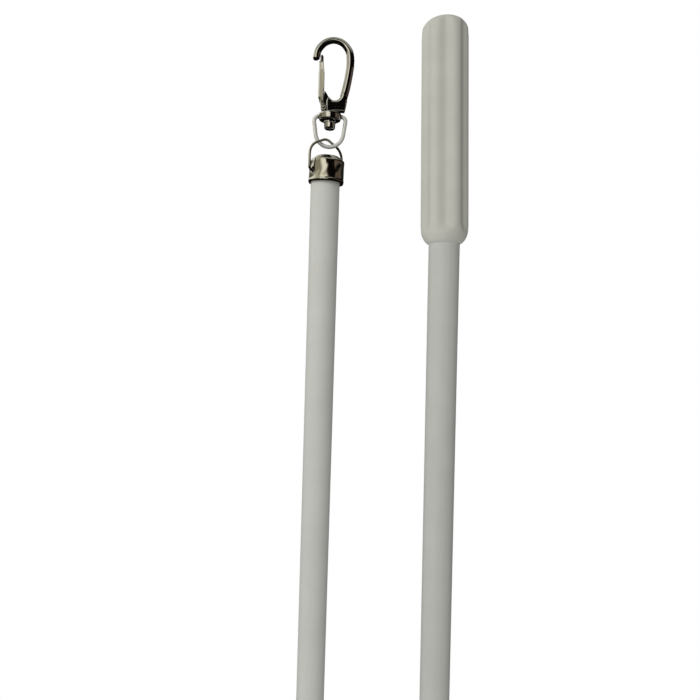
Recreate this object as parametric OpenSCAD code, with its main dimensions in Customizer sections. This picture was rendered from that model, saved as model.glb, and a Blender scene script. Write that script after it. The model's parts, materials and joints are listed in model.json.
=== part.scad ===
// Draw wand: a white tube with a fluted grip at its foot and a swivel snap hook at its head.
// Z runs up the tube, the grip's domed tip is at z = 0, and the wand's front faces -Y.

/* [Wand] */
// Length from the grip's tip to the top of the end cap
wand_len = 609.6; // [399.6:10:1509.6]
// Outside diameter of the tube
rod_d = 12.7; // [12.5:0.1:12.9]
// Wall of the tube
rod_wall = 1.4; // [1:0.1:2]

/* [Grip] */
// Length of the grip
grip_len = 93; // [85:1:120]
// Diameter over the ridges at the tube end
grip_d = 19.5; // [19:0.1:22]
// Diameter over the ridges at the domed end
grip_tip_d = 18.9; // [18.5:0.1:20]
// Height of the domed tip
dome_h = 5.5; // [5:0.5:8]
// Height of the oval that rounds the tube side end
shoulder_h = 7.2; // [5:0.1:8]
// Diameter of the mouth that the tube goes into
mouth_d = 13.3; // [13.3:0.1:15]
// Depth of the socket for the tube
socket_depth = 78; // [50:1:80]
// Number of flutes
flutes = 6; // [4:1:6]
// Depth of a flute below the ridges
flute_depth = 1.5; // [0.8:0.1:1.8]
// Radius of a flute's hollow
flute_r = 6; // [5:0.5:8]
// Plain band between the flutes and the tube side end
flute_margin = 5.2; // [5:0.5:12]

/* [End cap] */
// Outside diameter of the cap
cap_d = 15.2; // [14.5:0.1:15.5]
// Height of the cap
cap_h = 11.7; // [11:0.1:14]
// Wall of the cap
cap_wall = 1.15; // [1:0.05:1.2]
// Diameter of the flat on top
cap_top_d = 9.8; // [8:0.2:11]
// Height of the sloping shoulder
cap_slope_h = 2.0; // [1.5:0.1:3]
// Height of the rolled bead round the mouth
bead_h = 1.9; // [1:0.1:2]
// Distance from the cap's top to its cross holes
hole_drop = 6.9; // [6:0.1:7.5]
// Diameter of a cross hole
hole_d = 2.4; // [2:0.1:2.6]
// Angle of the cross holes from the front, towards the left
hole_turn = 50; // [30:1:60]

/* [Bail] */
// Diameter of the bail's wire
bail_wire_d = 1.1; // [0.9:0.05:1.15]
// Distance of a leg from the middle
bail_half = 8.8; // [8.6:0.1:9.5]
// Height of the top of the bail above the cross holes, to the wire's middle
bail_rise = 14.3; // [13:0.1:15]
// Lean of the bail's sloping sides from upright
bail_slope = 65; // [62:1:68]
// Radius of the bend at the top
bail_top_r = 4.2; // [4:0.1:5]
// Radius of the bend at each shoulder
bail_shoulder_r = 6; // [5:0.5:6.5]
// Radius of the bend into each foot
bail_foot_r = 1.6; // [1.2:0.1:1.8]
// Distance of a foot's end from the middle
bail_foot_end = 4.4; // [4:0.1:5]

/* [Swivel eye] */
// Diameter of the eye's ring section
eye_wire_d = 1.6; // [1.4:0.05:1.65]
// Radius of the ring's round bottom, to the section's middle
eye_bottom_r = 6.1; // [5.8:0.1:6.2]
// Lean of the ring's sides from upright
eye_lean = 8; // [4:1:10]
// Distance from the ring's bottom up to its arms
eye_arm_h = 13; // [12.5:0.1:14]
// Radius of the ring's upper corners
eye_corner_r = 1.9; // [1.5:0.1:2.5]
// Play between the bail and the ring, middle to middle
link_play = 3.1; // [2.8:0.05:3.2]
// Distance that the ring hangs off the tube's axis, towards +X
link_shift = 1.2; // [0:0.1:1.2]
// Diameter of the boss
boss_d = 9.7; // [8.5:0.1:10]
// Height of the boss
boss_h = 4; // [3.8:0.1:5]

/* [Swivel rivet] */
// Diameter of the shank
shank_d = 2.2; // [2:0.1:2.4]
// Diameter of the head
head_d = 5; // [4.4:0.1:5.4]
// Height of the head
head_h = 3.7; // [3:0.1:4]
// Depth of the shank in the hook's base
shank_grip = 2.8; // [2:0.1:3]

/* [Snap hook] */
// Height of the middle of the hook's bow above its base
bow_z = 22.7; // [22:0.1:23.5]
// Distance of the bow's middle from the swivel axis
bow_x = 0.85; // [0.8:0.05:1]
// Radius of the bow, to the section's middle
bow_r = 7.4; // [7.3:0.05:7.5]
// Diameter of the hook's section
hook_wire_d = 3.2; // [3:0.1:3.2]
// Lean of the hook's back arm from upright
arm_lean = 7.6; // [6:0.2:9]
// Angle past level where the nose ends
nose_angle = -2; // [-4:1:4]
// Thickness of the base
base_t = 3.6; // [3.4:0.1:4]

/* [Gate] */
// Angle that the gate opens inwards
gate_open = 15; // [12:1:15]
// Sheet thickness of the gate
gate_sheet = 0.5; // [0.4:0.05:0.5]
// Width of the gate's channel, outside
gate_w = 2.5; // [2.5:0.1:2.8]
// Diameter of the gate's pin
pin_d = 1; // [0.8:0.1:1]
// Diameter of the spring's wire
spring_wire_d = 0.25; // [0.2:0.05:0.25]

/* [Hidden] */
$fn = 64;
slip = 0.05;                                   // running clearance on a radius
lap = 0.2;                                     // length that a bar reaches into a bend
lap_step = 0.02;                               // a bar is this much thinner than a bend
rod_r = rod_d / 2;
rod_bottom = grip_len - socket_depth + 0.5;
cap_bore_r = cap_d / 2 - cap_wall;
cap_top_t = 0.8;
rod_top = wand_len - cap_slope_h - cap_top_t;
hole_z = wand_len - hole_drop;
bail_top_z = hole_z + bail_rise;
eye_z = bail_top_z - link_play;                // middle of the section at the ring's bottom
boss_z = eye_z + eye_arm_h - boss_h / 2 + 0.1;
base_z = boss_z + boss_h + slip;
hook_r = hook_wire_d / 2;
pivot = [-2.85, 1.5];                          // gate's pin, from the foot of the swivel axis
gate_left = -5.5;
gate_right = -2.9;
gate_neck_left = -5.1;
gate_neck_z = 17.3;
gate_step_z = 21.1;
gate_tip_z = 23.7;
gate_tongue_left = -4.6;
gate_tongue_right = -3.75;
gate_eye_r = 1.35;
base_left = pivot.x + gate_eye_r + 0.1;        // clears the gate's eye as it turns
ear = [-0.65, 0.15];                           // the ear's two faces, front to back
coil = [0.2, 0.7];                             // the spring's two ends, front to back
white = [0.86, 0.86, 0.82];
chrome = [0.78, 0.77, 0.74];

// ---- shared shapes ----

// Turns a flat drawing in X and Y so that its Y points up
module upright() {
  rotate([90, 0, 0]) children();
}

// A plate in the upright plane between two depths
module plate(front, back) {
  translate([0, back, 0]) upright() linear_extrude(back - front) children();
}

// A straight length of round section from p to q, drawn flat, which laps into the bends it joins
module bar(p, q, r) {
  run = q - p;
  translate([p.x, p.y, 0]) rotate([0, 0, atan2(run.y, run.x)]) rotate([0, 90, 0])
    translate([0, 0, -lap]) cylinder(r = r - lap_step, h = norm(run) + 2 * lap);
}

// A bend of round section about c, from angle a to angle b, drawn flat
module bend(c, radius, a, b, r) {
  translate([c.x, c.y, 0]) rotate([0, 0, a]) rotate_extrude(angle = b - a)
    translate([radius, 0]) circle(r);
}

function on_circle(c, radius, a) = c + radius * [cos(a), sin(a)];

// Points of a quarter ellipse about c, from angle a to angle b
function ellipse(c, rx, ry, a, b, steps = 12) =
  [for (i = [0:steps]) c + [rx * cos(a + (b - a) * i / steps), ry * sin(a + (b - a) * i / steps)]];

module at_head() {
  translate([link_shift, 0, base_z]) children();
}

module cross_axis() {
  translate([0, 0, hole_z]) rotate([0, 0, 90 - hole_turn]) children();
}

// ---- wand ----

module grip_blank() {
  tip = ellipse([0, dome_h], grip_tip_d / 2, dome_h, -90, 0);
  shoulder_c = 5.4;
  reach = grip_d / 2 - shoulder_c;
  stop = acos((mouth_d / 2 - shoulder_c) / reach);
  end = ellipse([shoulder_c, grip_len - shoulder_h * sin(stop)], reach, shoulder_h, 0, stop);
  rotate_extrude() polygon(concat(tip, end, [[0, grip_len]]));
}

module flute() {
  flute_end = grip_len - flute_margin - sqrt(flute_r * flute_r - pow(flute_r - flute_depth, 2));
  translate([grip_d / 2 - flute_depth + flute_r, 0, 0]) {
    translate([0, 0, -1]) cylinder(r = flute_r, h = flute_end + 1);
    translate([0, 0, flute_end]) sphere(flute_r);
  }
}

module handle_grip() {
  color(white) difference() {
    grip_blank();
    for (i = [0:flutes - 1]) rotate([0, 0, -90 + i * 360 / flutes]) flute();
    translate([0, 0, grip_len - socket_depth]) cylinder(r = rod_r + slip, h = socket_depth + 1);
  }
}

module cross_hole() {
  cross_axis() rotate([0, 90, 0]) cylinder(d = hole_d, h = cap_d + 4, center = true);
}

module rod_tube() {
  color(white) difference() {
    translate([0, 0, rod_bottom]) cylinder(r = rod_r, h = rod_top - rod_bottom);
    translate([0, 0, rod_bottom - 1]) cylinder(r = rod_r - rod_wall, h = wand_len);
    cross_hole();
  }
}

module end_cap() {
  top_r = cap_top_d / 2;
  side_r = cap_d / 2;
  soft = 0.5;
  inner_top_r = top_r - 0.45;
  color(chrome) difference() {
    translate([0, 0, wand_len - cap_h]) union() {
      rotate_extrude() polygon([
        [0, 0], [side_r, 0], [side_r, cap_h - cap_slope_h - soft],
        [side_r - 0.15, cap_h - cap_slope_h], [top_r + soft, cap_h - 0.3], [top_r, cap_h],
        [0, cap_h]]);
      bead_r = bead_h / 2;
      translate([0, 0, bead_r]) rotate_extrude() translate([side_r - bead_r + 0.2, 0]) circle(bead_r);
    }
    translate([0, 0, wand_len - cap_h - 1])
      cylinder(r = cap_bore_r, h = cap_h - cap_slope_h - cap_top_t + 1);
    translate([0, 0, wand_len - cap_slope_h - cap_top_t - 0.01])
      cylinder(r1 = cap_bore_r, r2 = inner_top_r, h = cap_slope_h + 0.01);
    cross_hole();
  }
}

// ---- links ----

module bail_wire() {
  r = bail_wire_d / 2;
  shoulder_x = bail_half - bail_shoulder_r;
  slope_len = (shoulder_x + (bail_shoulder_r - bail_top_r) * cos(bail_slope)) / sin(bail_slope);
  top_c = [0, bail_rise - bail_top_r];
  slope_top = on_circle(top_c, bail_top_r, bail_slope);
  slope_foot = slope_top + slope_len * [sin(bail_slope), -cos(bail_slope)];
  shoulder_c = slope_foot - bail_shoulder_r * [cos(bail_slope), sin(bail_slope)];
  foot_c = [bail_half - bail_foot_r, bail_foot_r];
  color(chrome) cross_axis() upright() {
    bend(top_c, bail_top_r, bail_slope, 180 - bail_slope, r);
    for (side = [0, 1]) mirror([side, 0, 0]) {
      bar(slope_top, slope_foot, r);
      bend(shoulder_c, bail_shoulder_r, 0, bail_slope, r);
      bar([bail_half, shoulder_c.y], [bail_half, bail_foot_r], r);
      bend(foot_c, bail_foot_r, -90, 0, r);
      bar([bail_foot_end, 0], [bail_half - bail_foot_r, 0], r);
    }
  }
}

// The ring's outline: round bottom, leaning sides, round corners and level arms into the boss
module eye_ring() {
  r = eye_wire_d / 2;
  bottom_c = [0, eye_bottom_r];
  corner_z = eye_arm_h - eye_corner_r;
  corner_x = (eye_bottom_r - eye_corner_r + (corner_z - eye_bottom_r) * sin(eye_lean)) / cos(eye_lean);
  corner_c = [corner_x, corner_z];
  upright() {
    bend(bottom_c, eye_bottom_r, 180 + eye_lean, 360 - eye_lean, r);
    for (side = [0, 1]) mirror([side, 0, 0]) {
      bar(on_circle(bottom_c, eye_bottom_r, -eye_lean),
          on_circle(corner_c, eye_corner_r, -eye_lean), r);
      bend(corner_c, eye_corner_r, -eye_lean, 90, r);
      bar([boss_d / 2 - 1.4, eye_arm_h], [corner_x, eye_arm_h], r);
    }
  }
}

module boss() {
  r = boss_d / 2;
  rotate_extrude() polygon(concat(
    [[0, 0], [r - 1.3, 0], [r - 0.1, 1.2]],
    ellipse([0, 1.6], r, boss_h - 1.6, 0, 68, 10),
    [[0.35 * r, boss_h], [0, boss_h]]));
}

module swivel_eye() {
  color(chrome) difference() {
    union() {
      translate([link_shift, 0, eye_z]) eye_ring();
      translate([link_shift, 0, boss_z]) boss();
    }
    translate([link_shift, 0, boss_z - 1]) cylinder(r = shank_d / 2 + slip, h = boss_h + 2);
  }
}

// Headed rivet: its head sits inside the ring, its shank is pressed into the hook's base
module swivel_rivet() {
  head_r = head_d / 2;
  nose_r = 1;
  color(chrome) translate([link_shift, 0, 0]) {
    translate([0, 0, boss_z - slip - head_h]) rotate_extrude() polygon(concat(
      [[0, 0]],
      ellipse([head_r - nose_r - 0.1, nose_r], nose_r, nose_r, -90, 0, 6),
      [[head_r, head_h - 0.9], [head_r + 0.3, head_h - 0.7], [head_r + 0.3, head_h - 0.2],
       [head_r + 0.1, head_h], [0, head_h]]));
    translate([0, 0, boss_z - slip - 0.01])
      cylinder(d = shank_d, h = boss_h + 2 * slip + shank_grip + 0.01);
  }
}

// ---- snap hook ----

bow_c = [bow_x, bow_z];
arm_top = on_circle(bow_c, bow_r, -arm_lean);
arm_foot_z = 2.2;
arm_foot = arm_top - (arm_top.y - arm_foot_z) / cos(arm_lean) * [sin(arm_lean), cos(arm_lean)];
crotch_r = 2.9;
crotch_c = [1.7, 6.9];
nose_lap = 2;                                  // the nose's ball sits this many degrees inside

// Back face of the gate's channel when it is fully open, the line the web stops it on
function opened(p) = let (d = p - pivot)
  pivot + [d.x * cos(gate_open) + d.y * sin(gate_open), d.y * cos(gate_open) - d.x * sin(gate_open)];

module base_outline() {
  difference() {
    polygon([[base_left, 0], [6.2, 0], [6.5, 0.6], [7.3, 5], [6.9, 10.6], [5.4, 10.6],
             [4.4, crotch_c.y], [-0.4, 6], [-1.2, 5], [base_left, 4]]);
    translate(crotch_c) circle(crotch_r);
  }
}

// Thin web that stands inside the gate's channel, with the ear for the pin
module web() {
  edge = 24;
  touch = crotch_c - crotch_r * [cos(edge), sin(edge)];
  back_x = gate_left + gate_sheet + 0.12;
  difference() {
    union() {
      plate(ear[0], ear[1]) polygon([
        [-1, 0.5], [-1, 5.4], touch, touch + 2.3 * [-sin(edge), cos(edge)],
        opened([back_x, 8.7]), opened([back_x, 5]), pivot + [-0.8, 0], pivot + [0.3, -0.9]]);
      plate(ear[0], ear[1]) translate(pivot) circle(gate_eye_r - 0.15);
    }
    plate(-3, 3) translate(pivot) circle(d = pin_d);
  }
}

module hook_body() {
  color(chrome) at_head() difference() {
    union() {
      upright() {
        bend(bow_c, bow_r, -arm_lean, 180 + nose_angle, hook_r);
        bar(arm_foot, arm_top, hook_r);
        translate(on_circle(bow_c, bow_r, 180 + nose_angle - nose_lap)) sphere(hook_r - lap_step);
      }
      plate(-base_t / 2, base_t / 2) base_outline();
      web();
    }
    translate([0, 0, -1]) cylinder(d = shank_d, h = shank_grip + slip + 1);
  }
}

module gate_outline() {
  polygon([pivot + [-1.3, 0.4], [gate_left, 6], [gate_left, gate_neck_z - 0.3],
           [gate_neck_left, gate_neck_z], [gate_neck_left, gate_step_z - 0.2],
           [gate_tongue_left, gate_step_z], [gate_tongue_left, gate_tip_z - 0.3],
           [gate_tongue_left + 0.25, gate_tip_z], [gate_tongue_right - 0.25, gate_tip_z],
           [gate_tongue_right, gate_tip_z - 0.3], [gate_tongue_right, gate_step_z + 0.6],
           [gate_right, gate_step_z - 0.2], [gate_right, 9.8], [gate_right - 0.3, 8.8],
           [gate_right - 0.35, 4.2], pivot + [1.25, 0.5]]);
}

// Channel pressed from sheet: two cheeks, a back, and a closed head with the latch tongue
module gate() {
  half = gate_w / 2;
  head_foot_z = gate_neck_z - 0.8;
  inner = half - gate_sheet;
  inner_left = gate_left + gate_sheet;
  color(chrome) at_head() difference() {
    union() {
      plate(-half, half) gate_outline();
      plate(-half, half) translate(pivot) circle(gate_eye_r);
    }
    plate(-inner, inner) polygon([
      [inner_left, head_foot_z], [inner_left, -1], [gate_right + 3, -1], [gate_right + 3, head_foot_z]]);
    translate([pivot.x, 0, pivot.y]) rotate([90, 0, 0])
      cylinder(r = pin_d / 2 + slip, h = 6, center = true);
  }
}

module pin_head() {
  intersection() {
    translate([0, 0, -0.55]) sphere(1.05);
    cylinder(r = 2, h = 2);
  }
}

module gate_pin() {
  half = gate_w / 2 + slip;
  color(chrome) at_head() translate([pivot.x, 0, pivot.y]) rotate([90, 0, 0]) {
    cylinder(d = pin_d, h = 2 * half, center = true);
    for (side = [0, 1]) mirror([0, 0, side]) translate([0, 0, half]) pin_head();
  }
}

// Torsion spring: a close coil on the pin, one leg up the gate's back, one against the base
coil_r = pin_d / 2 + spring_wire_d / 2 + 0.1;
coil_steps = 12;
coil_turns = 1.5;
function coil_point(a) = [
  pivot.x + coil_r * cos(a),
  coil[0] + spring_wire_d / 2 + (coil[1] - coil[0] - spring_wire_d) * (a - 180) / (360 * coil_turns),
  pivot.y + coil_r * sin(a)];
spring_path = concat(
  [[gate_left + gate_sheet + 0.3, coil[0] + spring_wire_d / 2, 8.5],
   [gate_left + gate_sheet + 0.3, coil[0] + spring_wire_d / 2, 5.2]],
  [for (i = [0:coil_steps * coil_turns]) coil_point(180 + 360 * i / coil_steps)],
  [[-1.75, coil[1] - spring_wire_d / 2, 3.6]]);

module gate_spring() {
  color("gray") at_head() for (i = [0:len(spring_path) - 2]) hull() {
    translate(spring_path[i]) sphere(d = spring_wire_d, $fn = 8);
    translate(spring_path[i + 1]) sphere(d = spring_wire_d, $fn = 8);
  }
}

handle_grip();
rod_tube();
end_cap();
bail_wire();
swivel_eye();
swivel_rivet();
hook_body();
gate();
gate_pin();
gate_spring();
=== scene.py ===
"""Looks for the draw wand: plated swivel hook, white tube and fluted grip.

Everything is in metres in the CAD frame: Z up the tube, grip tip at z = 0, front towards -Y.
Lengths given in millimetres are multiplied by MM where they are used.
"""

import json
import math

import bmesh
import bpy
from mathutils import Matrix, Vector


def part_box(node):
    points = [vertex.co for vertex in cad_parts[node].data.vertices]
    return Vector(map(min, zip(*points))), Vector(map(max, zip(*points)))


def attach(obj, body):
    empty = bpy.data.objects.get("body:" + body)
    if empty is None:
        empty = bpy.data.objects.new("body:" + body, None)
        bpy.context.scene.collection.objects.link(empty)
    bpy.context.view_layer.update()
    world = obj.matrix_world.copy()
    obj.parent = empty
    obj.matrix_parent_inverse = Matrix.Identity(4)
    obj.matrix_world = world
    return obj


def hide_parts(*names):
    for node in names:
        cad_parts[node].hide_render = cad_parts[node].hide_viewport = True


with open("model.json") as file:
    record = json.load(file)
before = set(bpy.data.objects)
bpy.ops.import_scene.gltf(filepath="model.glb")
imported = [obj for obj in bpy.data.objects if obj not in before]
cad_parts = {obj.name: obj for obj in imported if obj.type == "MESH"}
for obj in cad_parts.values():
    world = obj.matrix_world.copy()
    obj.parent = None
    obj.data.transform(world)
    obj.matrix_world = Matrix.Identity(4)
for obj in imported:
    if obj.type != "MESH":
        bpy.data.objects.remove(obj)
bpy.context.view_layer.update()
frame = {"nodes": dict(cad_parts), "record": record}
nodes = frame["nodes"]
MM = 0.001
joint_at = {joint["name"]: Vector(joint["pos_m"])
            for joint in frame["record"]["behaviour"]["joints"]}
mount_at = {mount["name"]: Vector(mount["pos_m"]) for mount in frame["record"]["mounts"]}


# ---- node graph helpers -------------------------------------------------------------

class Graph:
    """Short calls for building a shader tree."""

    def __init__(self, tree):
        self.tree = tree
        tree.nodes.clear()

    def link_or_set(self, socket, value):
        if isinstance(value, bpy.types.NodeSocket):
            self.tree.links.new(value, socket)
        elif socket.type == "RGBA" and len(value) == 3:
            socket.default_value = (*value, 1.0)
        else:
            socket.default_value = value

    def node(self, kind, props=None, **inputs):
        """Adds a node; an input's name is written with _ where it has a space."""
        made = self.tree.nodes.new("ShaderNode" + kind)
        for name, value in (props or {}).items():
            setattr(made, name, value)
        for name, value in inputs.items():
            self.link_or_set(made.inputs[name.replace("_", " ")], value)
        return made

    def math(self, operation, a, b=0.0):
        made = self.node("Math", {"operation": operation})
        self.link_or_set(made.inputs[0], a)
        self.link_or_set(made.inputs[1], b)
        return made.outputs[0]

    def add(self, a, b):
        return self.math("ADD", a, b)

    def times(self, a, b):
        return self.math("MULTIPLY", a, b)

    def vector(self, operation, a, b=(0, 0, 0)):
        made = self.node("VectorMath", {"operation": operation})
        self.link_or_set(made.inputs[0], a)
        self.link_or_set(made.inputs[1], b)
        return made

    def mix(self, factor, a, b):
        """Blends two colours, whose sockets on a Mix node are 6 and 7, with output 2."""
        made = self.node("Mix", {"data_type": "RGBA"})
        self.link_or_set(made.inputs[0], factor)
        self.link_or_set(made.inputs[6], a)
        self.link_or_set(made.inputs[7], b)
        return made.outputs[2]

    def mix_shaders(self, factor, a, b):
        made = self.node("MixShader", Fac=factor)
        self.tree.links.new(a.outputs[0], made.inputs[1])
        self.tree.links.new(b.outputs[0], made.inputs[2])
        return made

    def remap(self, value, low, high, to_low=0.0, to_high=1.0):
        made = self.node("MapRange", {"clamp": True}, Value=value, From_Min=low,
                         From_Max=high, To_Min=to_low, To_Max=to_high)
        return made.outputs[0]

    def noise(self, coords, scale, detail=2.0, rough=0.5, stretch=(1, 1, 1)):
        """Noise with a scale in features per millimetre."""
        scaled = self.vector("MULTIPLY", coords, stretch).outputs[0]
        made = self.node("TexNoise", Vector=scaled, Scale=scale, Detail=detail,
                         Roughness=rough)
        return made.outputs["Fac"]

    def millimetres(self):
        """The object's own coordinates, in millimetres."""
        coords = self.node("TexCoord")
        scaled = self.node("VectorMath", {"operation": "SCALE"}, Scale=1 / MM)
        self.tree.links.new(coords.outputs["Object"], scaled.inputs[0])
        return scaled.outputs[0]

    def surface(self, shader):
        out = self.node("OutputMaterial")
        self.tree.links.new(shader.outputs[0], out.inputs["Surface"])


def material(name):
    made = bpy.data.materials.new(name)
    made.use_nodes = True
    return made, Graph(made.node_tree)


# ---- materials ----------------------------------------------------------------------

SCUFFED = (0.55, 0.54, 0.50)
SPECKLED = (0.42, 0.40, 0.36)
# painted shade: the dark grey that the white plastic's hollows are darkened towards
PAINTED_HOLLOW_SHADE = (0.30, 0.29, 0.25)
SCRATCHED = (0.45, 0.43, 0.38)
# painted shade: the dark brown that the plated parts' crevices are darkened towards
PAINTED_CREVICE_SHADE = (0.10, 0.085, 0.06)
TUMBLED_LIGHT = (0.94, 0.94, 0.90)
TUMBLED_DARK = (0.89, 0.89, 0.85)


def plastic(name, light, shade, rough, grain, streak, hollow_shade):
    """White plastic: cloudy colour, fine grain, lengthwise streaks and a few scuffs.

    grain is the grain's scale per mm, streak how far the streaks are drawn out along the
    tube (small is long), and the last argument how far painted shade darkens the hollows.
    """
    made, g = material(name)
    mm = g.millimetres()
    cloud = g.noise(mm, 0.09, 3.0, 0.55)
    speck = g.noise(mm, 2.3, 2.0)
    lines = g.noise(mm, 1.6, 2.0, 0.6, (1, 1, streak))
    scuff = g.noise(mm, 0.55, 4.0, 0.7, (1, 1, 0.25))
    rub = g.remap(scuff, 0.62, 0.78)
    # painted shade: ambient occlusion darkens the hollows towards a dark grey, standing in
    # for the shade that falls there
    crevice = g.node("AmbientOcclusion", {"samples": 6}, Distance=3.0 * MM)
    hollow = g.remap(crevice.outputs["AO"], 0.55, 0.98, hollow_shade, 0.0)
    colour = g.mix(g.remap(cloud, 0.35, 0.65), light, shade)
    colour = g.mix(g.times(g.remap(lines, 0.4, 0.7), 0.12), colour,
                   tuple(c * 0.9 for c in shade))
    colour = g.mix(g.times(rub, 0.10), colour, SCUFFED)
    colour = g.mix(g.times(g.remap(speck, 0.72, 0.8), 0.12), colour, SPECKLED)
    colour = g.mix(hollow, colour, PAINTED_HOLLOW_SHADE)
    roughness = g.add(g.remap(cloud, 0.3, 0.7, rough - 0.05, rough + 0.05),
                      g.times(rub, 0.15))
    fine = g.noise(mm, grain, 2.0, 0.6)
    height = g.add(g.times(fine, 0.010 * MM), g.times(lines, 0.012 * MM))
    bump = g.node("Bump", Strength=0.6, Distance=1.0, Height=height)
    shader = g.node("BsdfPrincipled", Base_Color=colour, Roughness=roughness,
                    Normal=bump.outputs[0], IOR=1.48, Subsurface_Weight=0.05,
                    Subsurface_Radius=(0.6 * MM, 0.55 * MM, 0.45 * MM),
                    Subsurface_Scale=1.0)
    g.surface(shader)
    return made


def plated(name, warm, cool, rough, peel, peel_depth, hairs=1.0, polished=None):
    """Bright nickel plate: drifting tint, soft orange peel, hairline scratches, painted shade
    in crevices.

    peel is the orange peel's scale per mm, peel_depth its depth in mm and hairs how
    strongly the hairlines show. polished is the middle, in mm, of the one polished disc
    on a part that is tumbled pale everywhere else.
    """
    made, g = material(name)
    mm = g.millimetres()
    drift = g.noise(mm, 0.35, 3.0, 0.6)
    wavy = g.noise(mm, peel, 1.0)
    hair = g.noise(mm, 5.0, 3.0, 0.7)
    scratch = g.remap(hair, 0.60, 0.74)
    # painted shade: ambient occlusion darkens the crevices and gaps between parts to a dark
    # brown and makes them a little rougher
    crevice = g.node("AmbientOcclusion", {"samples": 16, "only_local": True},
                     Distance=0.8 * MM)
    crevice_shade = g.remap(crevice.outputs["AO"], 0.25, 0.7, 0.55, 0.0)
    colour = g.mix(g.remap(drift, 0.35, 0.65), warm, cool)
    colour = g.mix(g.times(scratch, 0.08), colour, SCRATCHED)
    colour = g.mix(crevice_shade, colour, PAINTED_CREVICE_SHADE)
    roughness = g.add(g.remap(drift, 0.3, 0.7, rough, rough + 0.05 * hairs),
                      g.add(g.times(scratch, 0.05 * hairs), g.times(crevice_shade, 0.25 * hairs)))
    height = g.add(g.times(wavy, peel_depth * MM), g.times(hair, hairs * 0.0006 * MM))
    bump = g.node("Bump", Strength=0.5, Distance=1.0, Height=height)
    metal = 1.0
    if polished:
        off = g.vector("SUBTRACT", mm, polished).outputs[0]
        beyond = g.remap(g.vector("LENGTH", off).outputs["Value"], 5.2, 5.7)
        colour = g.mix(beyond, colour, g.mix(drift, TUMBLED_LIGHT, TUMBLED_DARK))
        metal = g.math("SUBTRACT", 1.0, g.times(beyond, 0.62))
        roughness = g.add(roughness, g.times(beyond, 0.22))
    shader = g.node("BsdfPrincipled", Base_Color=colour, Roughness=roughness,
                    Metallic=metal, Normal=bump.outputs[0])
    g.surface(shader)
    return made


BOSS_MIDDLE = (joint_at["hook_swivel"] - Vector((0, 0, 2.2 * MM))) / MM
NICKEL_WARM = (0.80, 0.78, 0.72)
NICKEL_COOL = (0.76, 0.76, 0.73)
GRIP = plastic("grip_moulded", (0.635, 0.64, 0.59), (0.60, 0.605, 0.555), rough=0.50,
               grain=3.2, streak=0.5, hollow_shade=0.25)
TUBE = plastic("tube_drawn", (0.70, 0.71, 0.68), (0.67, 0.68, 0.65), rough=0.40,
               grain=2.0, streak=0.04, hollow_shade=0.20)
SHEET = plated("nickel_sheet", (0.80, 0.76, 0.66), (0.76, 0.75, 0.70), rough=0.07,
               peel=0.22, peel_depth=0.20)
WIRE = plated("nickel_wire", (0.84, 0.80, 0.66), (0.78, 0.76, 0.66), rough=0.26,
              peel=0.9, peel_depth=0.01)
RING = plated("nickel_tumbled", NICKEL_WARM, NICKEL_COOL, rough=0.06, peel=0.30,
              peel_depth=0.015, hairs=0.4, polished=tuple(BOSS_MIDDLE))
CASTING = plated("nickel_casting", NICKEL_WARM, NICKEL_COOL, rough=0.03, peel=0.25,
                 peel_depth=0.006, hairs=0.15)
SPRING = plated("spring_steel", (0.42, 0.41, 0.39), (0.36, 0.36, 0.36), rough=0.30,
                peel=1.2, peel_depth=0.01)
PRESSING = plated("nickel_pressing", (0.82, 0.80, 0.74), (0.78, 0.77, 0.73), rough=0.12,
                  peel=0.3, peel_depth=0.03)

LOOKS = {
    "rod_tube": TUBE,
    "end_cap": SHEET,
    "bail_wire": WIRE,
    "swivel_eye": RING,
    "swivel_rivet": CASTING,
    "hook_body": CASTING,
    "gate": SHEET,
    "gate_pin": WIRE,
    "gate_spring": SPRING,
    "handle_grip": GRIP,
}
for name, look in LOOKS.items():
    mesh = nodes[name].data
    mesh.materials.clear()
    mesh.materials.append(look)


# ---- mesh helpers ---------------------------------------------------------------------

def mesh_object(name, bm, look):
    data = bpy.data.meshes.new(name)
    bm.normal_update()
    bm.to_mesh(data)
    bm.free()
    data.materials.append(look)
    made = bpy.data.objects.new(name, data)
    bpy.context.scene.collection.objects.link(made)
    return made


def stands_for(made, node, body):
    """Hangs a skin on the body it rides on and hides the CAD node that it is shown for."""
    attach(made, body)
    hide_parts(node)
    return made


def join_rings(bm, a, b):
    n = len(a)
    for i in range(n):
        bm.faces.new((a[i], a[(i + 1) % n], b[(i + 1) % n], b[i]))


def close_ends(bm, rings):
    bm.faces.new(rings[0][::-1])
    bm.faces.new(rings[-1])


def join_all(bm, rings):
    for a, b in zip(rings, rings[1:]):
        join_rings(bm, a, b)


def remeshed(name, bm, voxel, smoothing, look):
    """Fuses overlapping closed shapes into one skin and softens its edges."""
    rough = mesh_object(name + "_raw", bm, look)
    fuse = rough.modifiers.new("fuse", "REMESH")
    fuse.mode = "VOXEL"
    fuse.voxel_size = voxel * MM
    fuse.use_smooth_shade = True
    soften = rough.modifiers.new("soften", "SMOOTH")
    soften.factor = 0.5
    soften.iterations = smoothing
    graph = bpy.context.evaluated_depsgraph_get()
    data = bpy.data.meshes.new_from_object(rough.evaluated_get(graph))
    data.name = name
    bpy.data.objects.remove(rough)
    data.materials.clear()
    data.materials.append(look)
    made = bpy.data.objects.new(name, data)
    bpy.context.scene.collection.objects.link(made)
    return made


# ---- grip ---------------------------------------------------------------------------

grip_low, grip_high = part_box("handle_grip")
GRIP_LEN = grip_high.z - grip_low.z
END_R = 9.75 * MM
TIP_R = 9.45 * MM
DOME_H = 5.5 * MM
MOUTH_R = 6.65 * MM
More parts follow.
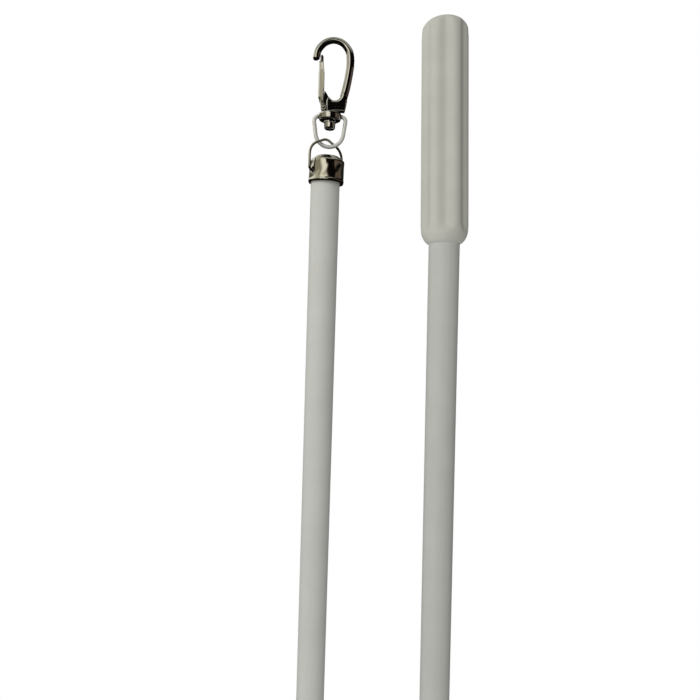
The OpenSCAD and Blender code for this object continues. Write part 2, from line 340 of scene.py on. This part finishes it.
# the shoulder is part of an ellipse: its middle is SHOULDER_C from the axis, it is
# SHOULDER_H tall, and it stops where it is as narrow as the mouth
SHOULDER_C = 5.4 * MM
SHOULDER_H = 7.2 * MM
SHOULDER_STOP = math.acos((MOUTH_R - SHOULDER_C) / (END_R - SHOULDER_C))
SHOULDER_Z = GRIP_LEN - SHOULDER_H * math.sin(SHOULDER_STOP)
SOCKET_R = 6.4 * MM
SOCKET_DEPTH = 78 * MM
SOCKET_LIP = 0.08 * MM
LOBES = 6
GROOVE = 1.5 * MM
# the grooves run out over GROOVE_RUN and end GROOVE_END short of the mouth
GROOVE_END = 1.8 * MM
GROOVE_RUN = 6.5 * MM
TIP_BLEND = 0.5 * MM
SHOULDER_BLEND = 0.4 * MM
GRIP_SIDES = 192


def smooth_min(a, b, k):
    h = max(k - abs(a - b), 0.0) / k
    return min(a, b) - h * h * k / 4


def grip_radius(z, turn):
    """Radius of the grip's skin: lobed sides that run out into the dome and the shoulder."""
    side = TIP_R + (END_R - TIP_R) * min(z / GRIP_LEN, 1.0)
    part = min(max((GRIP_LEN - GROOVE_END - z) / GROOVE_RUN, 0.0), 1.0)
    fade = part * part * (3 - 2 * part)
    wave = (0.5 + 0.5 * math.cos(LOBES * turn)) ** 1.15
    lobed = side - GROOVE * fade * wave
    if z < DOME_H:
        dome = TIP_R * math.sqrt(max(0.0, 1 - (1 - z / DOME_H) ** 2))
        return smooth_min(lobed, dome, TIP_BLEND)
    over = z - SHOULDER_Z
    if over > 0:
        skirt = SHOULDER_C + (END_R - SHOULDER_C) * math.sqrt(1 - (over / SHOULDER_H) ** 2)
        return smooth_min(lobed, skirt, SHOULDER_BLEND)
    return lobed


def ring_of(bm, radius_at, z):
    """Ring about the tube's axis; turn 0 faces the front, -Y."""
    ring = []
    for i in range(GRIP_SIDES):
        turn = 2 * math.pi * i / GRIP_SIDES
        r = radius_at(turn)
        ring.append(bm.verts.new((r * math.sin(turn), -r * math.cos(turn), z)))
    return ring


def build_grip():
    bm = bmesh.new()
    body_end = GRIP_LEN - GROOVE_END - GROOVE_RUN
    heights = [DOME_H * (1 - math.cos(math.pi / 2 * i / 14)) for i in range(1, 15)]
    heights += [DOME_H + (body_end - DOME_H) * i / 26 for i in range(1, 27)]
    heights += [body_end + (SHOULDER_Z - body_end) * i / 8 for i in range(1, 9)]
    heights += [SHOULDER_Z + SHOULDER_H * math.sin(SHOULDER_STOP * i / 20)
                for i in range(1, 21)]
    rings = [ring_of(bm, lambda turn, z=z: grip_radius(z, turn), z) for z in heights]
    socket = [(SOCKET_R + SOCKET_LIP, GRIP_LEN), (SOCKET_R, GRIP_LEN - 0.2 * MM),
              (SOCKET_R, GRIP_LEN - 20 * MM), (SOCKET_R, GRIP_LEN - SOCKET_DEPTH)]
    rings += [ring_of(bm, lambda turn, r=r: r, z) for r, z in socket]
    join_all(bm, rings)
    tip = bm.verts.new((0, 0, 0))
    floor = bm.verts.new((0, 0, GRIP_LEN - SOCKET_DEPTH))
    for i in range(GRIP_SIDES):
        after = (i + 1) % GRIP_SIDES
        bm.faces.new((tip, rings[0][after], rings[0][i]))
        bm.faces.new((floor, rings[-1][i], rings[-1][after]))
    bmesh.ops.recalc_face_normals(bm, faces=bm.faces)
    for face in bm.faces:
        face.smooth = True
    made = mesh_object("grip_skin", bm, GRIP)
    return stands_for(made, "handle_grip", "wand")


# ---- shapes in the hook's own millimetres ---------------------------------------------
# x, y and z are measured from the foot of the swivel axis, in the CAD frame's directions

HOOK_AT = joint_at["hook_swivel"]
PIVOT = (joint_at["gate_hinge"] - HOOK_AT) / MM
BOW = (mount_at["hook_bow"] - HOOK_AT) / MM
BAR_SIDES = 32
LATHE_SIDES = 96
EDGE_STEPS = 6


def hook_point(x, y, z):
    return HOOK_AT + Vector((x, y, z)) * MM


def spline(points, steps):
    """Catmull-Rom curve through tuples of any length."""
    ends = [points[0]] + list(points) + [points[-1]]
    out = []
    for a, b, c, d in zip(ends, ends[1:], ends[2:], ends[3:]):
        for k in range(steps):
            t = k / steps
            out.append(tuple(
                0.5 * (2 * q + (r - p) * t + (2 * p - 5 * q + 4 * r - u) * t ** 2
                       + (3 * q - p - 3 * r + u) * t ** 3)
                for p, q, r, u in zip(a, b, c, d)))
    out.append(tuple(points[-1]))
    return out


def arc(cx, cz, r, start, stop, steps, last):
    """(x, z, last) tuples on a circle, between two angles in degrees from +X towards +Z."""
    turns = [math.radians(start + (stop - start) * i / steps) for i in range(steps + 1)]
    return [(cx + r * math.cos(a), cz + r * math.sin(a), last) for a in turns]


def rounded(points):
    """Outline corners for pillow(), all with the full rounding."""
    return [(x, z, 1.0) for x, z in points]


def sweep(bm, path):
    """Round bar through (x, z, radius) tuples in the hook's plane."""
    rings = []
    for i, (x, z, r) in enumerate(path):
        before, after = path[max(i - 1, 0)], path[min(i + 1, len(path) - 1)]
        run = Vector((after[0] - before[0], after[1] - before[1])).normalized()
        ring = []
        for k in range(BAR_SIDES):
            a = 2 * math.pi * k / BAR_SIDES
            out = r * math.cos(a)
            ring.append(bm.verts.new(hook_point(x - run.y * out, r * math.sin(a),
                                                z + run.x * out)))
        rings.append(ring)
    join_all(bm, rings)
    close_ends(bm, rings)


def pillow(bm, outline, front, back, soft):
    """Plate with rounded edges; outline holds (x, z, how strongly the edge is rounded)."""
    slopes = []
    for i in range(len(outline)):
        before, after = outline[i - 1], outline[(i + 1) % len(outline)]
        run = Vector((after[0] - before[0], after[1] - before[1])).normalized()
        slopes.append(Vector((run.y, -run.x)))
    levels = [(front, 1, k / EDGE_STEPS) for k in range(EDGE_STEPS, -1, -1)]
    levels += [(back, -1, k / EDGE_STEPS) for k in range(EDGE_STEPS + 1)]
    rings = []
    for face, inward, part in levels:
        a = part * math.pi / 2
        ring = []
        for (x, z, weight), slope in zip(outline, slopes):
            rounding = soft * weight
            inset = rounding * (1 - math.cos(a))
            depth = face + inward * rounding * (1 - math.sin(a))
            ring.append(bm.verts.new(hook_point(x - slope.x * inset, depth,
                                                z - slope.y * inset)))
        rings.append(ring)
    join_all(bm, rings)
    close_ends(bm, rings)


def lathe(bm, profile):
    """Turns (radius, z) tuples about the swivel axis, closed at both ends."""
    turns = [2 * math.pi * k / LATHE_SIDES for k in range(LATHE_SIDES)]
    rings = [[bm.verts.new(hook_point(r * math.cos(a), r * math.sin(a), z)) for a in turns]
             for r, z in profile]
    join_all(bm, rings)
    close_ends(bm, rings)


# ---- hook -----------------------------------------------------------------------------

BOW_OUTSIDE = 9.0
NOSE_FROM = 180
NOSE_R = 1.5
BASE_HALF = 1.8
BASE_EDGE = 1.15
CROTCH = (1.75, 7.45, 2.85)
EAR_FRONT = -0.55
EAR_BACK = 0.1
EAR_EDGE = 0.2


def bow_and_arm():
    """Middle line of the bent bar, from the nose over the bow and down into the base."""
    bow = []
    # the angle seen from the bow's middle, and the bar's radius there
    for angle, r in ((187, 0.5), (186, 1.0), (183, 1.4), (174, 1.55), (150, 1.52),
                     (120, 1.42), (90, 1.36), (60, 1.44), (30, 1.62), (5, 1.76)):
        a = math.radians(angle)
        # the bar's outside runs along one circle until the nose tapers away from it
        middle = BOW_OUTSIDE - (max(r, NOSE_R) if angle > NOSE_FROM else r)
        bow.append((BOW.x + middle * math.cos(a), BOW.z + middle * math.sin(a), r))
    arm = [(8.12, 19.5, 1.74), (7.66, 15.6, 1.72), (7.12, 12.4, 1.74), (6.5, 9.4, 1.76),
           (5.85, 6.8, 1.74), (5.3, 4.6, 1.6), (4.9, 3.0, 1.3)]
    return spline(bow + arm, 6)


def base_outline():
    """The flat base: square at the bottom left, round on the right and in the crotch."""
    outline = [(-1.4, 0.0, 0.02), (2.0, 0.0, 0.1), (6.1, 0.0, 0.1), (6.45, 0.5, 0.3),
               (6.9, 2.6, 0.8), (7.3, 4.8, 1.0), (7.0, 7.4, 1.0), (6.3, 8.6, 1.0),
               (5.4, 8.4, 1.0), (4.75, 7.7, 1.0)]
    # the crotch's rounded edge dies out towards the left
    outline += arc(*CROTCH, -12, -111, 13, 1.0)
    outline += arc(*CROTCH, -118, -132, 2, 0.5)
    outline += arc(*CROTCH, -139, -146, 1, 0.1)
    outline += [(-1.1, 5.1, 0.05), (-1.4, 4.4, 0.02), (-1.4, 2.0, 0.02)]
    return outline


def ear_outline():
    """The ear round the gate's pin, and the thin web that rises from it beside the base."""
    return rounded([
        (PIVOT.x - 0.4, PIVOT.z - 1.05), (PIVOT.x + 0.5, PIVOT.z - 1.1), (-0.6, 0.6),
        (-0.3, 4.9), (-0.66, 6.0), (-1.2, 6.9), (-1.78, 7.85), (-2.3, 8.5), (-2.7, 8.9),
        (-3.12, 7.2), (-3.40, 5.4), (-3.25, 4.0), (-3.8, 2.5),
        (PIVOT.x - 1.1, PIVOT.z + 0.4), (PIVOT.x - 1.1, PIVOT.z - 0.4),
    ])


def build_hook():
    bm = bmesh.new()
    sweep(bm, bow_and_arm())
    pillow(bm, base_outline(), -BASE_HALF, BASE_HALF, BASE_EDGE)
    pillow(bm, ear_outline(), EAR_FRONT, EAR_BACK, EAR_EDGE)
    made = remeshed("hook_skin", bm, 0.13, 1, CASTING)
    # the base's flat faces keep their own normal right up to its narrow edges
    flat_from = (BASE_HALF - 0.02) * MM
    for face in made.data.polygons:
        if abs(face.center.y) > flat_from:
            face.use_smooth = False
    return stands_for(made, "hook_body", "hook")


# ---- gate -----------------------------------------------------------------------------

GATE_WALL = 0.42
GATE_LIP = 1.02
FILLED_FROM = 17.0
TONGUE_HALF = 1.1
TAB_R = 1.35
TAB_THICK = 0.45
TAB_FRONTS = (-1.62, 1.17)


def channel(left, right, flare):
    """Outlines of the gate's channel in x and y: the bent sheet, and its solid envelope."""
    lip = GATE_LIP + flare
    outer = [(right, -lip), (left + 0.85, -1.0), (left + 0.6, -0.9), (left + 0.02, -0.12)]
    outer += [(x, -y) for x, y in outer[::-1]]
    inner = [(right, -lip + GATE_WALL), (left + 0.8, -0.72), (left + 0.52, -0.45)]
    inner += [(x, -y) for x, y in inner[::-1]]
    return outer + inner[::-1], outer


def gate_channel(bm):
    """The folded sheet, open towards the hook, and filled at its upper end."""
    # height, left edge, right edge, how far the cheeks flare
    stations = [(3.6, -4.7, -3.0, 0.35), (4.0, -4.8, -3.05, 0.4), (6.0, -5.4, -3.1, 0.56),
                (8.6, -5.5, -3.1, 0.6), (10.0, -5.5, -2.9, 0.62), (17.0, -5.5, -2.95, 0.55),
                (17.6, -5.4, -3.05, 0.4), (21.0, -5.4, -3.4, 0.1), (21.5, -5.1, -3.5, 0.0)]
    hollow, filled = [], []
    for z, left, right, flare in stations:
        sheet, envelope = channel(left, right, flare)
        hollow.append([bm.verts.new(hook_point(x, y, z)) for x, y in sheet])
        if z >= FILLED_FROM:
            filled.append([bm.verts.new(hook_point(x, y, z)) for x, y in envelope])
    for rings in (hollow, filled):
        join_all(bm, rings)
        close_ends(bm, rings)


def build_gate():
    """The channel, the tongue that meets the nose, and two round tabs on the pin."""
    bm = bmesh.new()
    gate_channel(bm)
    tongue = rounded([(-4.85, 20.4), (-3.5, 20.4), (-3.5, 23.2), (-3.9, 23.8),
                      (-4.5, 23.8), (-4.85, 23.3)])
    pillow(bm, tongue, -TONGUE_HALF, TONGUE_HALF, 0.3)
    tab = arc(PIVOT.x, PIVOT.z, TAB_R, 60, -200, 20, 1.0)[::-1]
    tab += rounded([(-2.5, 3.2), (-3.1, 4.6), (-4.7, 4.6), (-4.3, 2.8)])
    for front in TAB_FRONTS:
        pillow(bm, tab, front, front + TAB_THICK, 0.12)
    bmesh.ops.recalc_face_normals(bm, faces=bm.faces)
    made = remeshed("gate_skin", bm, 0.11, 2, PRESSING)
    return stands_for(made, "gate", "gate")


# ---- swivel eye -----------------------------------------------------------------------

RING_WIRE = 0.87
RING_BOTTOM_R = 6.1
RING_BOTTOM_Z = -9.05
RING_CORNER_R = 1.9
RING_CORNER_X = 4.94
RING_CORNER_Z = -4.05
# how far the ring's sides lean inwards at the top, in degrees
RING_LEAN = 8
RING_END_X = 3.2


def ring_path():
    """The ring as a round wire: a wide bottom arc, two leaning corners, ends in the boss."""
    top = RING_CORNER_Z + RING_CORNER_R
    path = [(RING_END_X, top, RING_WIRE)]
    path += arc(RING_CORNER_X, RING_CORNER_Z, RING_CORNER_R, 90, -RING_LEAN, 14, RING_WIRE)
    path += arc(0.0, RING_BOTTOM_Z, RING_BOTTOM_R, -RING_LEAN, RING_LEAN - 180, 40,
                RING_WIRE)
    path += arc(-RING_CORNER_X, RING_CORNER_Z, RING_CORNER_R, 180 + RING_LEAN, 90, 14,
                RING_WIRE)
    path += [(-RING_END_X, top, RING_WIRE)]
    return path


def build_eye():
    bm = bmesh.new()
    sweep(bm, ring_path())
    boss = [(4.1, -4.02), (4.5, -3.9), (4.7, -3.6), (4.76, -2.9), (4.82, -2.1),
            (4.85, -1.4), (4.83, -1.05), (4.7, -0.85), (3.9, -0.7), (2.0, -0.4),
            (1.3, -0.08)]
    lathe(bm, boss)
    bmesh.ops.recalc_face_normals(bm, faces=bm.faces)
    made = remeshed("eye_skin", bm, 0.12, 9, RING)
    return stands_for(made, "swivel_eye", "eye")


# ---- end cap --------------------------------------------------------------------------

CAP_SHIFT = 0.5 * MM
CAP_LEAN = 1.2
CAP_WALL_FROM = 5 * MM


def dent_depth(turn, height):
    """Shallow waves left by crimping, in millimetres, at an angle and a height in mm."""
    return (0.09 * math.sin(3 * turn + 0.7 + 0.35 * height)
            + 0.05 * math.sin(7 * turn - 0.8 * height + 1.3))


def build_cap():
    """The pressed cap: slightly skew on its tube, with shallow dents in its wall."""
    bm = bmesh.new()
    bm.from_mesh(nodes["end_cap"].data)
    made = remeshed("cap_skin", bm, 0.16, 6, SHEET)
    low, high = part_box("end_cap")
    middle = (low + high) / 2
    for vertex in made.data.vertices:
        x, y, z = vertex.co - middle
        out = Vector((x, y, 0))
        if out.length > CAP_WALL_FROM:
            vertex.co += out.normalized() * dent_depth(math.atan2(x, -y), z / MM) * MM
    made.data.transform(Matrix.Translation(middle + Vector((CAP_SHIFT, 0, 0)))
                        @ Matrix.Rotation(math.radians(CAP_LEAN), 4, "Y")
                        @ Matrix.Translation(-middle))
    return stands_for(made, "end_cap", "wand")


# ---- studio ---------------------------------------------------------------------------

def colour_band(g, place, stops):
    """Colours at azimuths from -180 to 180 degrees, blended in between."""
    ramp = g.node("ValToRGB", Fac=place)
    band = ramp.color_ramp
    band.elements.remove(band.elements[1])
    band.elements[0].position = 0.0
    band.elements[0].color = (*stops[0][1], 1.0)
    for azimuth, colour in stops[1:]:
        band.elements.new(azimuth / 360 + 0.5).color = (*colour, 1.0)
    return ramp.outputs[0]


def lobe(g, toward, direction, sharpness):
    """A soft spot of light that is 1 in one direction and fades to 0 at its side."""
    facing = g.vector("DOT_PRODUCT", toward, tuple(direction.normalized())).outputs["Value"]
    return g.math("POWER", g.math("MAXIMUM", facing, 0.0), sharpness)


def light_on_matt(g, toward):
    """Light for matt faces: a key from the left front and a rim from behind, over a fill."""
    azimuth = math.radians(-24)
    key = lobe(g, toward, Vector((math.sin(azimuth), -math.cos(azimuth), 0.25)), 7.0)
    rim = lobe(g, toward, Vector((-0.75, 0.62, 0.2)), 4.0)
    return g.add(0.33, g.add(g.times(key, 0.95), g.times(rim, 0.6)))


def room_for_metal(g, toward):
    """The room that metal reflects: two bands of colour round it, a ceiling, a dark floor."""
    x, y, height = g.node("SeparateXYZ", Vector=toward).outputs
    # the azimuth is 0 at the front and positive to the right
    turn = g.math("DIVIDE", g.math("ARCTAN2", x, g.times(y, -1.0)), 2 * math.pi)
    around = g.add(turn, 0.5)
    # seen by the cap, the boss and the rivet, a little above level
    low = colour_band(g, around, [
        (-180, (0.45, 0.44, 0.38)), (-168, (0.16, 0.15, 0.12)), (-118, (0.10, 0.09, 0.065)),
        (-96, (0.12, 0.11, 0.08)), (-84, (0.26, 0.235, 0.17)), (-46, (0.25, 0.225, 0.16)),
        (-30, (0.86, 0.82, 0.70)), (-22, (0.92, 0.88, 0.76)), (-4, (0.84, 0.80, 0.68)),
        (8, (0.03, 0.02, 0.017)), (15, (0.003, 0.002, 0.002)), (56, (0.004, 0.003, 0.003)),
        (66, (0.125, 0.095, 0.07)), (84, (0.085, 0.065, 0.05)), (108, (0.11, 0.085, 0.065)),
        (120, (0.02, 0.018, 0.015)), (160, (0.01, 0.01, 0.01)), (172, (0.35, 0.34, 0.30)),
        (180, (0.45, 0.44, 0.38)),
    ])
    # seen by the hook and its gate, further up
    high = colour_band(g, around, [
        (-180, (0.62, 0.63, 0.56)), (-96, (0.80, 0.79, 0.70)), (-76, (0.44, 0.42, 0.34)),
        (-40, (0.38, 0.35, 0.27)), (-32, (0.80, 0.77, 0.68)), (-12, (0.80, 0.78, 0.70)),
        (-6, (0.006, 0.005, 0.005)), (0, (0.003, 0.002, 0.002)),
        (165, (0.003, 0.002, 0.002)), (176, (0.20, 0.20, 0.18)), (180, (0.55, 0.56, 0.50)),
    ])
    room = g.mix(g.remap(height, 0.262, 0.275), low, high)
    room = g.mix(g.remap(height, 0.55, 0.78), room, (0.30, 0.30, 0.25))
    return g.mix(g.remap(height, -0.02, 0.14, 1.0, 0.0), room, (0.004, 0.0035, 0.003))


def studio_world():
    """White backdrop for the camera, soft light for matt faces, a lit room for metal."""
    world = bpy.data.worlds.new("studio")
    bpy.context.scene.world = world
    world.use_nodes = True
    # the room must reach the metal only along its mirror reflections, never as a lamp
    world.cycles.sampling_method = "NONE"
    g = Graph(world.node_tree)
    ray = g.node("LightPath").outputs
    toward = g.node("TexCoord").outputs["Generated"]
    # light that has bounced between two pieces is dimmed, so narrow gaps stay dark
    again = g.remap(ray["Ray Depth"], 2.0, 3.0, 1.0, 0.06)
    matt = g.node("Background", Color=(1.0, 0.99, 0.955), Strength=light_on_matt(g, toward))
    metal = g.node("Background", Color=room_for_metal(g, toward), Strength=again)
    white = g.node("Background", Color=(1.0, 1.0, 1.0), Strength=1.0)
    light = g.mix_shaders(ray["Is Glossy Ray"], matt, metal)
    seen = g.mix_shaders(ray["Is Camera Ray"], light, white)
    out = g.node("OutputWorld")
    g.tree.links.new(seen.outputs[0], out.inputs["Surface"])


def studio_floor():
    """A round floor under the hanging wand, partly paper and partly painted light, that fades
    into the white backdrop.
    """
    radius = 0.45
    drop = 0.2 * MM
    bm = bmesh.new()
    bmesh.ops.create_circle(bm, cap_ends=True, segments=96, radius=radius)
    bmesh.ops.translate(bm, verts=bm.verts, vec=(0, 0, -drop))
    look, g = material("floor_paper")
    mm = g.millimetres()
    far = g.vector("LENGTH", mm).outputs["Value"]
    # painted light: the floor glows, 55 % at its middle and fully from 400 mm out, so it
    # looks pale and lit and fades into the backdrop
    fade = g.remap(far, 40.0, 400.0, 0.55, 1.0)
    fibre = g.noise(mm, 0.8, 3.0)
    paper = g.node("BsdfDiffuse", Color=g.mix(fibre, (0.86, 0.86, 0.85), (0.80, 0.80, 0.79)))
    glow = g.node("Emission", Color=(1.0, 1.0, 1.0), Strength=1.0)
    g.surface(g.mix_shaders(fade, paper, glow))
    floor = mesh_object("studio_floor", bm, look)
    floor.visible_glossy = False


def soft_light():
    """One softbox at the left front, near the hook, so the tube dims a little downwards."""
    data = bpy.data.lights.new("softbox", "AREA")
    data.shape = "SQUARE"
    data.size = 0.30
    data.energy = 0.85
    data.color = (1.0, 0.985, 0.95)
    made = bpy.data.objects.new("softbox", data)
    bpy.context.scene.collection.objects.link(made)
    made.location = (-0.32, -0.42, 0.78)
    upper_tube = Vector((0, 0, 0.55))
    made.rotation_euler = (upper_tube - made.location).to_track_quat("-Z", "Y").to_euler()
    made.visible_glossy = False
    made.visible_camera = False


# ---- camera and display copy ----------------------------------------------------------

CAMERA_AT = Vector((13.21, -280.0, 541.0)) * MM
# how far the camera looks down, and how far it is rolled, in degrees
CAMERA_DOWN = 3.2
CAMERA_ROLL = 1.84


def aim_camera():
    data = bpy.data.cameras.new("camera")
    made = bpy.data.objects.new("camera", data)
    bpy.context.scene.collection.objects.link(made)
    data.sensor_width = 36.0
    data.lens = 32.4
    data.clip_start = 0.01
    data.clip_end = 20.0
    made.matrix_world = (Matrix.Translation(CAMERA_AT)
                         @ Matrix.Rotation(math.radians(90 - CAMERA_DOWN), 4, "X")
                         @ Matrix.Rotation(math.radians(CAMERA_ROLL), 4, "Z"))
    bpy.context.scene.camera = made
    return made


def hide_when_moved(made, camera):
    """Hides a display copy once the camera has left the depth it is set up at."""
    driver = made.driver_add("hide_render").driver
    driver.type = "SCRIPTED"
    depth = driver.variables.new()
    depth.name = "y"
    depth.type = "SINGLE_PROP"
    depth.targets[0].id = camera
    depth.targets[0].data_path = "location[1]"
    driver.expression = f"abs(y + {-CAMERA_AT.y:.2f}) > 0.0001"


def display_copy(name, bm, look, foot, stand, along, roll=0.0, stretch=1.0):
    """Puts a copy's foot point at stand, in mm, with its own Z running along a direction."""
    along = along.normalized()
    side = along.cross(Vector((0, -1, 0))).normalized()
    front = side.cross(along).normalized()
    bm.transform(Matrix.Translation(stand * MM)
                 @ Matrix((side, -front, along)).transposed().to_4x4()
                 @ Matrix.Rotation(math.radians(roll), 4, "Z")
                 @ Matrix.Diagonal((1, 1, stretch, 1)) @ Matrix.Translation(-foot))
    made = mesh_object(name, bm, look)
    made.data.shade_smooth()
    made.visible_diffuse = False
    made.visible_glossy = False
    made.visible_shadow = False
    return made


def second_wand(camera, grip):
    """The grip and the tube once more, end for end beside the wand.

    They are stage dressing: they aren't part of the object, and only the camera's first
    view shows them.
    """
    bm = bmesh.new()
    bm.from_mesh(grip.data)
    made = display_copy("display_grip", bm, GRIP, Vector((0, 0, 0)),
                        Vector((47.65, -16.10, 662.60)), Vector((0.0318, -0.0330, -0.9990)),
                        roll=5.5, stretch=0.984)
    hide_when_moved(made, camera)

    # painted shade: the display tube's plastic is a darker copy of the wand's tube plastic
    look = plastic("tube_display_shaded", (0.62, 0.63, 0.60), (0.595, 0.605, 0.575), rough=0.40,
                   grain=2.0, streak=0.04, hollow_shade=0.20)
    mouth = Vector((0, 0, GRIP_LEN))
    bm = bmesh.new()
    bm.from_mesh(nodes["rod_tube"].data)
    # the tube is cut off a little way inside the grip
    bmesh.ops.bisect_plane(bm, geom=bm.verts[:] + bm.edges[:] + bm.faces[:],
                           plane_co=mouth - Vector((0, 0, 4 * MM)), plane_no=(0, 0, -1),
                           clear_outer=True)
    made = display_copy("display_tube", bm, look, mouth, Vector((50.54, -18.62, 571.71)),
                        Vector((0.0189, 0.0018, -0.9998)))
    hide_when_moved(made, camera)


grip = build_grip()
build_hook()
build_gate()
build_eye()
build_cap()
studio_world()
studio_floor()
soft_light()
second_wand(aim_camera(), grip)
bpy.context.scene.view_settings.view_transform = "Standard"
